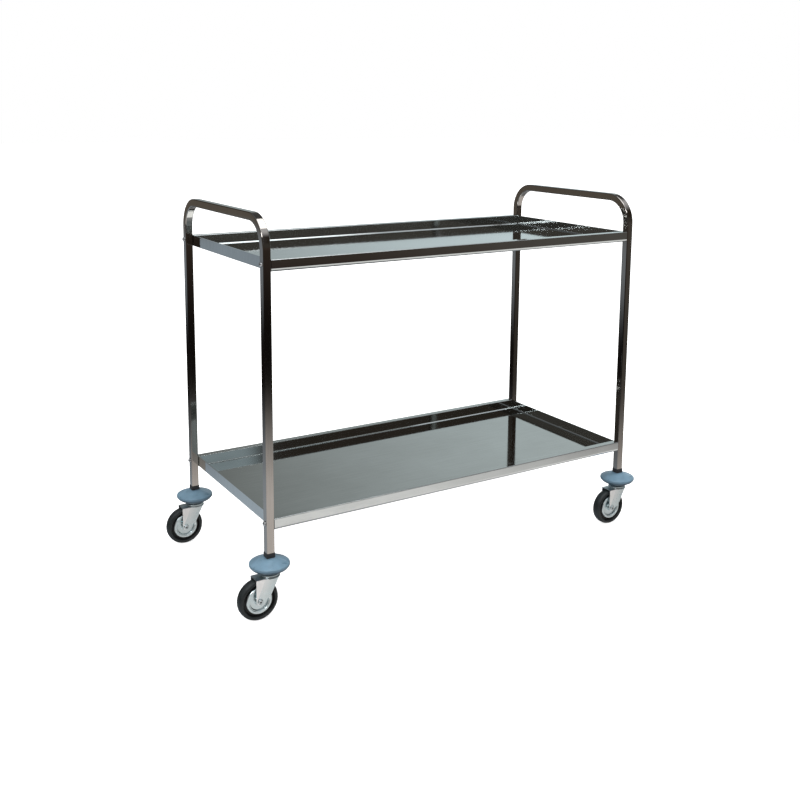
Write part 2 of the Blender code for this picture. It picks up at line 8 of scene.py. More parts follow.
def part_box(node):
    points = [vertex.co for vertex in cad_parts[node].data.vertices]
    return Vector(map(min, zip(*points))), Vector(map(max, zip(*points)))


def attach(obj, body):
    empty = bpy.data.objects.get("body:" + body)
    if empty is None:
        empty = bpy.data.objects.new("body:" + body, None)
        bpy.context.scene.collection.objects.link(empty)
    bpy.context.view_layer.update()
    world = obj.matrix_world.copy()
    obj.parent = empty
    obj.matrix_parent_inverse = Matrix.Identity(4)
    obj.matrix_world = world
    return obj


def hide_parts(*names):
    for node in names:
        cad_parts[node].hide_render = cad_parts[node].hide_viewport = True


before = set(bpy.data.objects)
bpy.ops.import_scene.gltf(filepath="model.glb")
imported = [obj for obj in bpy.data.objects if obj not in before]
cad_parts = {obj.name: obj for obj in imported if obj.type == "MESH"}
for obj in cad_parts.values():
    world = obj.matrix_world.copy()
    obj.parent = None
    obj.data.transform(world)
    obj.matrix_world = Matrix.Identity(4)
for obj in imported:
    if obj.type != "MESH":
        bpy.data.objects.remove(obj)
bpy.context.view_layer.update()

# Corners of the cart, as its nodes are named
CORNERS = ("front_left", "rear_left", "front_right", "rear_right")

# End frames: square tube
TUBE_CORNER = 0.0025
TUBE_WALL = 0.0015
HANDLE_BEND = 0.0700
HANDLE_BEND_STEPS = 28

# Trays: bent sheet
SHEET = 0.0012
FLANGE = 0.0200
HEM_HEIGHT = 0.0040
SKIRT_LIP = 0.0110
SKIRT_BEND = 0.0085
FLANGE_BEND = 0.0018
FLOOR_BEND = 0.0030
INNER_BEND = 0.0005
HEM_STEPS = 4
END_ROUND = 0.0010
END_STEPS = 6
BOLT_SEAT = 0.0055
BOLT_SHANK_RADIUS = 0.0030

# Casters
STEM_HOLE = 0.0053
AXLE_HOLE = 0.0043
AXLE_RADIUS = 0.0040
RACE_RADIUS = 0.0205
CROWN_DROP = 0.0009
FORK_SHEET = 0.0022
FORK_OUTSIDE = 0.0348
FORK_FRONT = 0.0170
FORK_WAIST = Vector((-0.0030, 0.0630))
FORK_EYE_RADIUS = 0.0095
RIM_RADIUS = 0.0325
RIM_HALF_WIDTH = 0.0120
RIM_DISH = 0.0042
TYRE_BORE = 0.0328
TYRE_RECESS_DEPTH = 0.0075
TYRE_RECESS_SHADE_RADIUS = 0.0408
DIMPLE_SHADE_RADIUS = 0.0024

# Clearance between parts that meet, and the angle from which an edge counts as sharp
FIT = 0.0003
SMOOTH_ANGLE = math.radians(32)

# Each caster piece: its finish, slot, body and the place that its mesh is built around
CASTER_PIECES = (
    ("leg_collar", "collar", "collar_plastic", "cart", "axis"),
    ("bumper", "bumper", "bumper_rubber", "cart", "axis"),
    ("swivel_cup", "zinc", "zinc", "cart", "axis"),
    ("ball_race", "race", "race_steel", "{}_caster", "axis"),
    ("fork", "zinc", "zinc", "{}_caster", "axis"),
    ("axle_bolt", "axle", "zinc", "{}_caster", "axle"),
    ("axle_nut", "zinc", "zinc", "{}_caster", "axle"),
    ("wheel_rim", "zinc", "zinc", "{}_wheel", "axle"),
    ("tyre", "tyre", "tyre_rubber", "{}_wheel", "axle"),
)

# Camera, placed from the middle between the legs
CAMERA_PLACE = (-1.480, -2.326, 1.1986)
CAMERA_LENS = 45.53
CAMERA_SHIFT = -0.165
CAMERA_TURN = math.radians(-31.69)
CAMERA_TILT = math.radians(90 - 9.03)
CAMERA_ROLL = math.radians(0.42)

# Light from the parts of the studio, as the polished steel sees it
WALL_LIGHT = (0.63, 0.73, 0.75)
WALL_HIGH = (0.52, 0.57, 0.565)
WALL_SHADE = (0.075, 0.066, 0.056)
WALL_SHADE_HIGH = (0.26, 0.27, 0.28)
WALL_TOP = (0.10, 0.10, 0.10)
ROOM_DARK = (0.010, 0.008, 0.007)
ROOM_DARK_RIGHT = (0.115, 0.104, 0.092)
ROOM_HAZE = (0.078, 0.070, 0.060)
ROOM_HIGH = (0.045, 0.035, 0.027)
HORIZON_FRONT = (0.075, 0.056, 0.045)
HORIZON_BEHIND = (0.17, 0.15, 0.125)
BAND_BEHIND = (0.31, 0.35, 0.39)
WINDOW = (0.46, 0.52, 0.54)
CEILING = (0.95, 0.97, 1.00)
NEAR_FLOOR = (1.00, 0.96, 0.93)
FLOOR_BELOW = (0.36, 0.36, 0.36)
NEAR_FLOOR_BEHIND = (0.46, 0.52, 0.58)
FLOOR_SHADE = (0.30, 0.31, 0.32)
SKY_SOFT = (1.00, 1.00, 1.00)
FLOOR_BOUNCE = (0.08, 0.09, 0.10)
FLOOR_GLOW = 0.72


# Shape helpers

def rounded_outline(corners, steps=6):
    """Outline through (u, v, radius) corners, each corner rounded by its own radius."""
    outline = []
    for index, (u, v, radius) in enumerate(corners):
        here = Vector((u, v))
        if radius == 0:
            outline.append(here)
            continue
        before = (Vector(corners[index - 1][:2]) - here).normalized()
        after = (Vector(corners[(index + 1) % len(corners)][:2]) - here).normalized()
        half_angle = before.angle(after) / 2
        centre = here + (before + after).normalized() * radius / math.sin(half_angle)
        start = here + before * radius / math.tan(half_angle) - centre
        end = here + after * radius / math.tan(half_angle) - centre
        sweep = start.angle_signed(end)
        for step in range(steps + 1):
            outline.append(centre + Matrix.Rotation(-sweep * step / steps, 2) @ start)
    return outline


def rectangle(width, height, radius, centre=(0, 0)):
    u, v = centre
    return [(u - width / 2, v - height / 2, radius), (u + width / 2, v - height / 2, radius),
            (u + width / 2, v + height / 2, radius), (u - width / 2, v + height / 2, radius)]


def circle(radius, sides, centre=(0, 0)):
    turns = [2 * math.pi * (index + 0.5) / sides for index in range(sides)]
    return [Vector((centre[0] + radius * math.cos(turn), centre[1] + radius * math.sin(turn)))
            for turn in turns]


def place_on_axis(axis, u, v, along):
    return {"X": (along, u, v), "Y": (u, along, v), "Z": (u, v, along)}[axis]


def finish_mesh(name, bm, smooth=True):
    bmesh.ops.recalc_face_normals(bm, faces=bm.faces)
    mesh = bpy.data.meshes.new(name)
    bm.to_mesh(mesh)
    bm.free()
    if smooth:
        mesh.shade_smooth()
        mesh.set_sharp_from_angle(angle=SMOOTH_ANGLE)
    return mesh


def only(items, kind):
    return [item for item in items if isinstance(item, kind)]


def prism(name, outline, low, high, axis):
    """Solid with a flat outline, extruded from low to high along an axis."""
    bm = bmesh.new()
    base = bm.faces.new([bm.verts.new(place_on_axis(axis, u, v, low)) for u, v in outline])
    moved = bmesh.ops.extrude_face_region(bm, geom=[base])["geom"]
    shift = Vector(place_on_axis(axis, 0, 0, high - low))
    bmesh.ops.translate(bm, vec=shift, verts=only(moved, bmesh.types.BMVert))
    return finish_mesh(name, bm, smooth=False)


def turned(name, corners, sides, axis="Z", steps=6):
    """Solid turned about an axis from (radius, height, rounding) corners.

    Corners that start on the axis make a solid piece; any others make a ring.
    """
    outline = rounded_outline(corners, steps)
    bm = bmesh.new()
    verts = [bm.verts.new((radius, 0, height)) for radius, height in outline]
    edges = [bm.edges.new(pair) for pair in zip(verts, verts[1:])]
    if corners[0][0] > 0:
        edges.append(bm.edges.new((verts[-1], verts[0])))
    bmesh.ops.spin(bm, geom=verts + edges, cent=(0, 0, 0), axis=(0, 0, 1), angle=2 * math.pi, steps=sides)
    bmesh.ops.remove_doubles(bm, verts=bm.verts, dist=1e-6)
    if axis == "Y":
        bmesh.ops.rotate(bm, verts=bm.verts, cent=(0, 0, 0), matrix=Matrix.Rotation(math.pi / 2, 3, "X"))
    if axis == "X":
        bmesh.ops.rotate(bm, verts=bm.verts, cent=(0, 0, 0), matrix=Matrix.Rotation(math.pi / 2, 3, "Y"))
    return finish_mesh(name, bm)


def combined(name, base, steps, edge_round=0.0):
    """Mesh made from a base mesh by (operation, mesh) Booleans, with its sharp edges rounded."""
    objects = []
    for mesh in [base] + [mesh for _, mesh in steps]:
        obj = bpy.data.objects.new(mesh.name, mesh)
        bpy.context.scene.collection.objects.link(obj)
        objects.append(obj)
    target = objects[0]
    for (operation, _), tool in zip(steps, objects[1:]):
        modifier = target.modifiers.new("Boolean", "BOOLEAN")
        modifier.operation = operation
        modifier.solver = "EXACT"
        modifier.object = tool
    if edge_round:
        bevel = target.modifiers.new("Edges", "BEVEL")
        bevel.width = edge_round
        bevel.segments = 3
        bevel.limit_method = "ANGLE"
        bevel.angle_limit = SMOOTH_ANGLE
        bevel.use_clamp_overlap = True
    evaluated = target.evaluated_get(bpy.context.evaluated_depsgraph_get())
    result = bpy.data.meshes.new_from_object(evaluated)
    result.name = name
    for obj in objects:
        bpy.data.objects.remove(obj, do_unlink=True)
    result.shade_smooth()
    result.set_sharp_from_angle(angle=SMOOTH_ANGLE)
    return result


def add_piece(name, mesh, finish, body, location=(0, 0, 0), rotation_z=0.0, node=None):
    """A piece that rides on a body, takes a finish, and stands for a CAD node."""
    obj = bpy.data.objects.new(name, mesh)
    bpy.context.scene.collection.objects.link(obj)
    if not mesh.materials:
        mesh.materials.append(finish)
    obj.location = location
    obj.rotation_euler = (0, 0, rotation_z)
    flats = obj.modifiers.new("Flat faces", "WEIGHTED_NORMAL")
    flats.keep_sharp = True
    flats.weight = 80
    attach(obj, body)
    if node:
        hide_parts(node)
    return obj


# Materials

class Finish:
    """Small wrapper that adds nodes and links to a Principled material."""

    def __init__(self, name, colour, roughness, metallic):
        self.material = bpy.data.materials.new(name)
        self.material.use_nodes = True
        self.nodes = self.material.node_tree.nodes
        self.links = self.material.node_tree.links
        self.shader = self.nodes["Principled BSDF"]
        self.shader.inputs["Base Color"].default_value = (*colour, 1)
        self.shader.inputs["Roughness"].default_value = roughness
        self.shader.inputs["Metallic"].default_value = metallic
        self.place = self.node("ShaderNodeTexCoord").outputs["Object"]

    def node(self, kind, **inputs):
        made = self.nodes.new(kind)
        for key, value in inputs.items():
            made.inputs[key.replace("_", " ")].default_value = value
        return made

    def stretched(self, scale):
        mapping = self.node("ShaderNodeMapping")
        mapping.inputs["Scale"].default_value = scale
        self.links.new(self.place, mapping.inputs["Vector"])
        return mapping.outputs["Vector"]

    def noise(self, scale, detail=4.0, stretch=(1, 1, 1), roughness=0.55):
        made = self.node("ShaderNodeTexNoise", Scale=scale, Detail=detail, Roughness=roughness)
        self.links.new(self.stretched(stretch), made.inputs["Vector"])
        return made.outputs["Fac"]

    def ramp(self, source, low, high, start=0.3, end=0.7):
        """Colour ramp from low to high, as two colours or two grey values."""
        made = self.node("ShaderNodeValToRGB")
        made.color_ramp.elements[0].position = start
        made.color_ramp.elements[1].position = end
        for element, value in zip(made.color_ramp.elements, (low, high)):
            element.color = (*value, 1) if isinstance(value, tuple) else (value, value, value, 1)
        self.links.new(source, made.inputs["Fac"])
        return made.outputs["Color"]

    def mix(self, share, first, second, blend="MIX"):
        made = self.nodes.new("ShaderNodeMix")
        made.data_type = "RGBA"
        made.blend_type = blend
        for socket, value in ((made.inputs[0], share), (made.inputs[6], first), (made.inputs[7], second)):
            if isinstance(value, (float, int)):
                socket.default_value = value
            elif isinstance(value, tuple):
                socket.default_value = (*value, 1)
            else:
                self.links.new(value, socket)
        return made.outputs[2]

    def colour(self, source):
        self.links.new(source, self.shader.inputs["Base Color"])

    def roughness(self, source):
        self.links.new(source, self.shader.inputs["Roughness"])

    def bump(self, source, distance, strength=1.0, under=None):
        made = self.node("ShaderNodeBump", Strength=strength, Distance=distance)
        self.links.new(source, made.inputs["Height"])
        if under:
            self.links.new(under, made.inputs["Normal"])
        self.links.new(made.outputs["Normal"], self.shader.inputs["Normal"])
        return made.outputs["Normal"]

    def edges(self, low=0.52, high=0.60):
        """White along outer edges and corners, where the surface is most pointed."""
        made = self.node("ShaderNodeNewGeometry")
        return self.ramp(made.outputs["Pointiness"], 0.0, 1.0, low, high)


def steel(name, dark, light, grain, base_roughness, wave):
    """Polished stainless steel: fine grain along the piece, soft smudges and a slightly wavy surface."""
    finish = Finish(name, light, base_roughness, 1.0)
    smudge = finish.noise(5.0, 3.0)
    lines = finish.noise(40.0, 6.0, grain, 0.65)
    tone = finish.ramp(smudge, dark, light, 0.25, 0.75)
    streak = finish.ramp(lines, 0.90, 1.06, 0.25, 0.75)
    finish.colour(finish.mix(1.0, tone, streak, "MULTIPLY"))
    smudge_gloss = finish.ramp(smudge, base_roughness * 0.8, base_roughness * 1.25, 0.2, 0.8)
    grain_gloss = finish.ramp(lines, base_roughness * 0.8, base_roughness * 1.3, 0.2, 0.8)
    finish.roughness(finish.mix(0.5, smudge_gloss, grain_gloss))
    waves = finish.bump(finish.noise(2.2, 1.0), wave)
    finish.bump(lines, 0.000006, 0.5, waves)
    return finish.material


def zinc(name, light, dimple=None):
    """Bright zinc plate: cool, cloudy and a little rough, with painted shade in a dimple where one is
    stated.
    """
    finish = Finish(name, light, 0.3, 1.0)
    cloud = finish.noise(160.0, 5.0)
    cool = tuple(part * scale for part, scale in zip(light, (0.80, 0.86, 0.88)))
    tone = finish.ramp(cloud, cool, light, 0.3, 0.7)
    tone = finish.mix(finish.edges(), tone, (0.90, 0.92, 0.93))
    # Painted shade: a stated dimple is darkened to near black in the colour
    finish.colour(paint_shade_inside(finish, tone, dimple, 0.0006, (0.02, 0.02, 0.02)) if dimple else tone)
    finish.roughness(finish.ramp(cloud, 0.24, 0.40, 0.25, 0.75))
    finish.bump(finish.noise(900.0, 3.0), 0.00003)
    return finish.material


def moulded(name, colour, roughness, speckle, grain, edge_tone, recess=None):
    """Moulded rubber or plastic: mottled, with a fine grain, lighter edges and painted shade in any recess.
    """
    finish = Finish(name, colour, roughness, 0.0)
    mottle = finish.noise(70.0, 5.0)
    deep = tuple(part * (1 - speckle) for part in colour)
    high = tuple(min(1.0, part * (1 + speckle)) for part in colour)
    tone = finish.ramp(mottle, deep, high, 0.3, 0.7)
    tone = finish.mix(finish.edges(0.53, 0.66), tone, edge_tone)
    # Painted shade: a stated recess is darkened to near black in the colour
    finish.colour(paint_shade_inside(finish, tone, recess, 0.0012, (0.003, 0.003, 0.003)) if recess else tone)
    finish.roughness(finish.ramp(mottle, roughness * 0.85, roughness * 1.2, 0.25, 0.75))
    finish.bump(finish.noise(1400.0, 3.0), grain)
    return finish.material


def paint_shade_inside(finish, tone, radius, blend, deep):
    """Painted shade near the axle (the piece's own Y axis), inside a radius, over the tone of a finish."""
    split = finish.nodes.new("ShaderNodeSeparateXYZ")
    finish.links.new(finish.place, split.inputs[0])
    flat = finish.nodes.new("ShaderNodeCombineXYZ")
    finish.links.new(split.outputs["X"], flat.inputs["X"])
    finish.links.new(split.outputs["Z"], flat.inputs["Z"])
    length = finish.nodes.new("ShaderNodeVectorMath")
    length.operation = "LENGTH"
    finish.links.new(flat.outputs[0], length.inputs[0])
    edge = finish.nodes.new("ShaderNodeMapRange")
    edge.interpolation_type = "SMOOTHSTEP"
    edge.inputs["From Min"].default_value = radius
    edge.inputs["From Max"].default_value = radius - blend
    finish.links.new(length.outputs["Value"], edge.inputs["Value"])
    return finish.mix(edge.outputs["Result"], tone, deep)


def make_finishes():
    return {
        "frame": steel("frame_steel", (0.34, 0.318, 0.297), (0.42, 0.397, 0.374), (6, 6, 0.25), 0.07,
                       0.0003),
        "tray": steel("tray_steel", (0.54, 0.57, 0.57), (0.62, 0.655, 0.66), (0.15, 8, 0.5), 0.06, 0.0004),
        "bolt": zinc("bolt_steel", (0.62, 0.62, 0.63)),
        "zinc": zinc("zinc_plate", (0.70, 0.78, 0.80)),
        # Axle bolt: painted shade in the dimple of its head
        "axle": zinc("axle_zinc_dimple_shade", (0.66, 0.72, 0.74), dimple=DIMPLE_SHADE_RADIUS),
        # Ball race: near-black colour, partly grease and partly painted shade of the gap between crown and
        # cup
        "race": zinc("race_steel", (0.12, 0.12, 0.13)),
        "collar": moulded("collar_plastic", (0.018, 0.018, 0.020), 0.42, 0.25, 0.00003,
                          (0.07, 0.07, 0.075)),
        "bumper": moulded("bumper_rubber", (0.170, 0.280, 0.370), 0.30, 0.10, 0.00003, (0.28, 0.39, 0.48)),
        # Tyre: painted shade in the recess beside the rim
        "tyre": moulded("tyre_rubber", (0.016, 0.021, 0.022), 0.46, 0.30, 0.00006, (0.045, 0.055, 0.058),
                        recess=TYRE_RECESS_SHADE_RADIUS),
    }


# End frames

def frame_mesh(low, high):
    """Bent square tube: up one leg, round two bends and down the other, open at both feet."""
    tube = high.x - low.x
    bend_z = high.z - tube / 2 - HANDLE_BEND
    front = low.y + tube / 2
    back = high.y - tube / 2
    path = [(Vector((0, front, low.z)), 0.0), (Vector((0, front, bend_z)), 0.0)]
    for centre_y, start in ((front + HANDLE_BEND, 0.0), (back - HANDLE_BEND, math.pi / 2)):
        for step in range(1, HANDLE_BEND_STEPS + 1):
            turn = start + math.pi / 2 * step / HANDLE_BEND_STEPS
            y = centre_y - HANDLE_BEND * math.cos(turn)
            z = bend_z + HANDLE_BEND * math.sin(turn)
            path.append((Vector((0, y, z)), turn))
        if start == 0.0:
            path.append((Vector((0, back - HANDLE_BEND, high.z - tube / 2)), math.pi / 2))
    path.append((Vector((0, back, low.z)), math.pi))
    bm = bmesh.new()
    skins = []
    for width, corner in ((tube, TUBE_CORNER), (tube - 2 * TUBE_WALL, TUBE_CORNER - TUBE_WALL)):
        outline = rounded_outline(rectangle(width, width, corner), steps=5)
        rings = []
        for place, turn in path:
            out = Vector((0, -math.cos(turn), math.sin(turn)))
            rings.append([bm.verts.new(place + Vector((u, 0, 0)) + out * v) for u, v in outline])
        skins.append(rings)
        for ring, after in zip(rings, rings[1:]):
            for index in range(len(outline)):
                following = (index + 1) % len(outline)
                bm.faces.new((ring[index], ring[following], after[following], after[index]))
    for end in (0, -1):
        outer, inner = skins[0][end], skins[1][end]
        for index in range(len(outer)):
            following = (index + 1) % len(outer)
            bm.faces.new((outer[index], outer[following], inner[following], inner[index]))
    return finish_mesh("frame", bm)


def add_frames(finishes):
    for name in ("left_frame", "right_frame"):
        low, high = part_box(name)
        middle = (low + high) / 2
        mesh = frame_mesh(low, high)
        add_piece(f"{name}_tube", mesh, finishes["frame"], "cart",
                  (middle.x, 0, 0), node=name)


# Trays

def bend(before, corner, after, radius, steps=8):
    """Points of one rounded corner, from its first tangent point to its last."""
    corner = Vector(corner)
    first = (Vector(before) - corner).normalized()
    last = (Vector(after) - corner).normalized()
    half_angle = first.angle(last) / 2
    centre = corner + (first + last).normalized() * radius / math.sin(half_angle)
    start = first * radius / math.tan(half_angle) + corner - centre
    sweep = start.angle_signed(last * radius / math.tan(half_angle) + corner - centre)
    return [centre + Matrix.Rotation(-sweep * step / steps, 2) @ start for step in range(steps + 1)]


def mirrored(points):
    return [Vector((-u, v)) for u, v in reversed(points)]


def tray_paths(width, height):
    """Lines of the sheet's cross-section on its left (negative) side, from the skirt's lip to the floor."""
    half_width = width / 2
    half_pan = half_width - FLANGE
    hem_z = height - HEM_HEIGHT
    wall, skirt, lip, roof = half_pan + SHEET, half_width - SHEET, half_width - SKIRT_LIP, height - SHEET
    skirt_line = [Vector((-lip, 0))]
    skirt_line += bend((-lip, 0), (-half_width, 0), (-half_width, height), SKIRT_BEND)
    skirt_line += bend((-half_width, 0), (-half_width, height), (0, height), FLANGE_BEND)
    edge = bend((-half_width, height), (-half_pan, height), (-half_pan, 0), FLANGE_BEND)
    pan_bend = bend((-half_pan, height), (-half_pan, SHEET), (0, SHEET), FLOOR_BEND)
    channel = [Vector((-lip, 0)), Vector((-lip, SHEET))]
    channel += bend((-lip, SHEET), (-skirt, SHEET), (-skirt, roof), SKIRT_BEND - SHEET)
    channel += bend((-skirt, SHEET), (-skirt, roof), (-wall, roof), INNER_BEND, 3)
    channel += bend((-skirt, roof), (-wall, roof), (-wall, 0), INNER_BEND, 3)
    channel += bend((-wall, roof), (-wall, 0), (0, 0), FLOOR_BEND + SHEET)
    return skirt_line, edge, Vector((-half_pan, hem_z)), pan_bend, channel


def add_ring(bm, points, x, lowest=0.0):
    return [bm.verts.new((x, u, max(v, lowest))) for u, v in points]


def add_skin(bm, first, second):
    """Faces between two lines with the same number of vertices."""
    for index in range(len(first) - 1):
        bm.faces.new((first[index], first[index + 1], second[index + 1], second[index]))


def add_pan(bm, floor_line, end, hem):
    """Floor and side walls. The floor climbs into each end wall along a bend of the same radius."""
    hem_turn = math.asin((hem - end + FLOOR_BEND) / FLOOR_BEND)
    turns = [hem_turn * step / HEM_STEPS for step in range(HEM_STEPS + 1)]
    turns += [hem_turn + (math.pi / 2 - hem_turn) * step / HEM_STEPS for step in range(1, HEM_STEPS + 1)]
    rings = {}
    for side in (-1, 1):
        rings[side] = []
        for turn in turns:
            x = side * (end - FLOOR_BEND + FLOOR_BEND * math.sin(turn))
            rings[side].append(add_ring(bm, floor_line, x, SHEET + FLOOR_BEND * (1 - math.cos(turn))))
        for first, second in zip(rings[side], rings[side][1:]):
            add_skin(bm, first, second)
    add_skin(bm, rings[-1][0], rings[1][0])
    return rings


def add_box_edge(bm, paths, end, hem, pan, which):
    """Skirt, flange and channel along one side; gives their lines at each end of the tray."""
    skirt_line, edge_line, channel_line = paths
    skirts = {side: add_ring(bm, skirt_line, side * end) for side in (-1, 1)}
    edges = {side: add_ring(bm, edge_line, side * hem) for side in (-1, 1)}
    tops = {side: add_ring(bm, edge_line[:1], side * end)[0] for side in (-1, 1)}
    channels = {side: skirts[side][:1] + add_ring(bm, channel_line[1:], side * end) for side in (-1, 1)}
    for pair in (skirts, edges, channels):
        add_skin(bm, pair[-1], pair[1])
    rim = {side: [ring[which] for ring in pan[side][:HEM_STEPS + 1]] for side in (-1, 1)}
    bm.faces.new([edges[-1][-1]] + rim[-1][::-1] + rim[1] + [edges[1][-1]])
    bm.faces.new([skirts[-1][-1], tops[-1], edges[-1][0], edges[1][0], tops[1], skirts[1][-1]])
    return {side: (skirts[side], edges[side], tops[side], channels[side]) for side in (-1, 1)}


def add_end_wall(bm, side, front, back, rings, size):
    """Closes one end of the tray: its inside, its hem and a rounded outer face."""
    length, width, height = size
    front_skirt, front_edge, front_top, front_channel = front
    back_skirt, back_edge, back_top, back_channel = back
    bm.faces.new(front_channel)
    bm.faces.new(back_channel)
    bm.faces.new(rings[-1])
    bm.faces.new([ring[0] for ring in rings[HEM_STEPS:]] + [ring[-1] for ring in rings[:HEM_STEPS - 1:-1]])
    bm.faces.new(front_edge + [rings[HEM_STEPS][0], rings[HEM_STEPS][-1]] + back_edge[::-1])
    bm.faces.new([front_edge[0], back_edge[0], back_top, front_top])
    inner = front_skirt + [front_top, back_top] + back_skirt[::-1] + [back_channel[-1], front_channel[-1]]
    places = [vert.co.copy() for vert in inner]
    for step in range(END_STEPS + 1):
        turn = math.pi / 2 * step / END_STEPS
        inset = END_ROUND * (1 - math.cos(turn))
        x = side * (length / 2 - END_ROUND + END_ROUND * math.sin(turn))
        outer = []
        for _, y, z in places:
            outer.append(bm.verts.new((x, y * (1 - 2 * inset / width), z + inset * (1 - z / height))))
        add_skin(bm, inner + inner[:1], outer + outer[:1])
        inner = outer
    bm.faces.new(inner)


def tray_mesh(length, width, height):
    """Sheet tray: a pan with rounded bends, box edges front and back, and end walls with a hem."""
    skirt_line, edge_line, hem_point, pan_bend, channel_line = tray_paths(width, height)
    end = length / 2 - SHEET
    hem = length / 2 - 2 * SHEET
    floor_line = [hem_point] + pan_bend + mirrored(pan_bend) + mirrored([hem_point])
    front_paths = (skirt_line, edge_line, channel_line)
    back_paths = [[Vector((-u, v)) for u, v in path] for path in front_paths]
    bm = bmesh.new()
    pan = add_pan(bm, floor_line, end, hem)
    front = add_box_edge(bm, front_paths, end, hem, pan, 0)
    back = add_box_edge(bm, back_paths, end, hem, pan, -1)
    underside = [[lines[side][3][-1] for lines in (front, back)] for side in (-1, 1)]
    add_skin(bm, *underside)
    for side in (-1, 1):
        add_end_wall(bm, side, front[side], back[side], pan[side], (length, width, height))
    return finish_mesh("tray", bm)


def add_trays(finishes):
    low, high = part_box("upper_tray")
    mesh = tray_mesh(*(high - low))
    for name in ("upper_tray", "lower_tray"):
        low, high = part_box(name)
        middle = (low + high) / 2
        add_piece(f"{name}_sheet", mesh, finishes["tray"], "cart",
                  (middle.x, middle.y, low.z), node=name)


# Tray bolts

def tray_bolt_mesh(length, head_radius):
    """Domed bolt along +X from the middle of its head's seat."""
    head = BOLT_SEAT - 0.0003
    tip = length - BOLT_SEAT
    return turned("tray_bolt", [
        (0, -head, 0), (head_radius * 0.55, -head, 0.003), (head_radius, -0.0022, 0.0012),
        (head_radius, -FIT, 0.0002), (BOLT_SHANK_RADIUS, -FIT, 0), (BOLT_SHANK_RADIUS, tip, 0.0006),
        (0, tip, 0)], 40, "X", 8)


def add_tray_bolts(finishes):
    mesh = None
    for end, facing in (("left", 0.0), ("right", math.pi)):
        for tray in ("upper", "lower"):
            for side in ("front", "rear"):
                node = f"{tray}_tray_bolt_{end}_{side}"
                low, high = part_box(node)
                middle = (low + high) / 2
                if mesh is None:
                    mesh = tray_bolt_mesh(high.x - low.x, (high.z - low.z) / 2)
                head_seat = low.x + BOLT_SEAT if end == "left" else high.x - BOLT_SEAT
                add_piece(f"{node}_domed", mesh, finishes["bolt"], "cart",
                          (head_seat, middle.y, middle.z), facing, node)


# Casters

def measure_caster(name):
    """Sizes of one caster, with heights above the floor and distances from its swivel axis."""
    boxes = {piece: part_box(f"{name}_{piece}") for piece, *_ in CASTER_PIECES}
    low, high = boxes["bumper"]
    axis = Vector(((low.x + high.x) / 2, (low.y + high.y) / 2, 0))
    tyre_low, tyre_high = boxes["tyre"]
    axle = (tyre_low + tyre_high) / 2
    return {"axis": axis, "boxes": boxes, "axle": axle, "trail": axis.x - axle.x,
            "wheel_radius": (tyre_high.z - tyre_low.z) / 2}


def bumper_mesh(size, tube):
    """Rubber disc: domed top, full round rim, hollowed underside, neck and a raised square socket."""
    low, high = size["boxes"]["bumper"]
    radius = (high.x - low.x) / 2
    bottom, top = low.z, high.z
    widest = bottom + (top - bottom) * 0.54
    body = turned("bumper", [
        (STEM_HOLE, bottom, 0), (0.0225, bottom, 0.0010), (0.0245, bottom + 0.0025, 0.0030),
        (0.0345, widest - 0.0140, 0.010), (0.0440, widest - 0.0085, 0.008),
        (radius, widest - 0.0028, 0.0035), (radius, widest + 0.0028, 0.0030),
        (0.0400, widest + 0.0062, 0.012), (0.0270, widest + 0.0112, 0.012),
        (0.0170, top - 0.0014, 0.004), (STEM_HOLE, top - 0.0014, 0)], 96, "Z", 10)
    socket = tube + 2 * FIT
    rim = prism("socket_rim", rounded_outline(rectangle(socket + 0.0044, socket + 0.0044, 0.0035)),
                top - 0.006, top, "Z")
    pocket = prism("socket", rounded_outline(rectangle(socket, socket, TUBE_CORNER)),
                   bottom + 0.0167, top + 0.010, "Z")
    return combined("bumper", body, [("UNION", rim), ("DIFFERENCE", pocket)])


def collar_mesh(size, tube):
    low, high = size["boxes"]["leg_collar"]
    outside = high.x - low.x
    inside = tube + 2 * FIT
    sleeve = prism("sleeve", rounded_outline(rectangle(outside, outside, TUBE_CORNER)), low.z, high.z, "Z")
    bore = prism("sleeve_bore", rounded_outline(rectangle(inside, inside, TUBE_CORNER)),
                 low.z - 0.01, high.z + 0.01, "Z")
    return combined("leg_collar", sleeve, [("DIFFERENCE", bore)], 0.0002)


def cup_mesh(size):
    """Pressed bearing cup with a rolled edge and a stepped top."""
    low, high = size["boxes"]["swivel_cup"]
    radius = (high.x - low.x) / 2
    return turned("swivel_cup", [
        (STEM_HOLE, low.z, 0), (radius - 0.0006, low.z, 0.0004), (radius, low.z + 0.0012, 0.0006),
        (radius, high.z - 0.0024, 0.0010), (radius - 0.0030, high.z - 0.0018, 0.0008),
        (radius - 0.0042, high.z, 0.0008), (STEM_HOLE, high.z, 0)], 72)


def race_mesh(size):
    """Ring of the ball race between the crown and the cup; its dark colour is partly grease and partly
    painted shade of the gap.
    """
    low = size["boxes"]["fork"][1].z - CROWN_DROP + FIT
    high = size["boxes"]["swivel_cup"][0].z - FIT
    return turned("ball_race", [
        (STEM_HOLE, low, 0), (RACE_RADIUS, low, 0), (RACE_RADIUS, high, 0), (STEM_HOLE, high, 0)], 64)


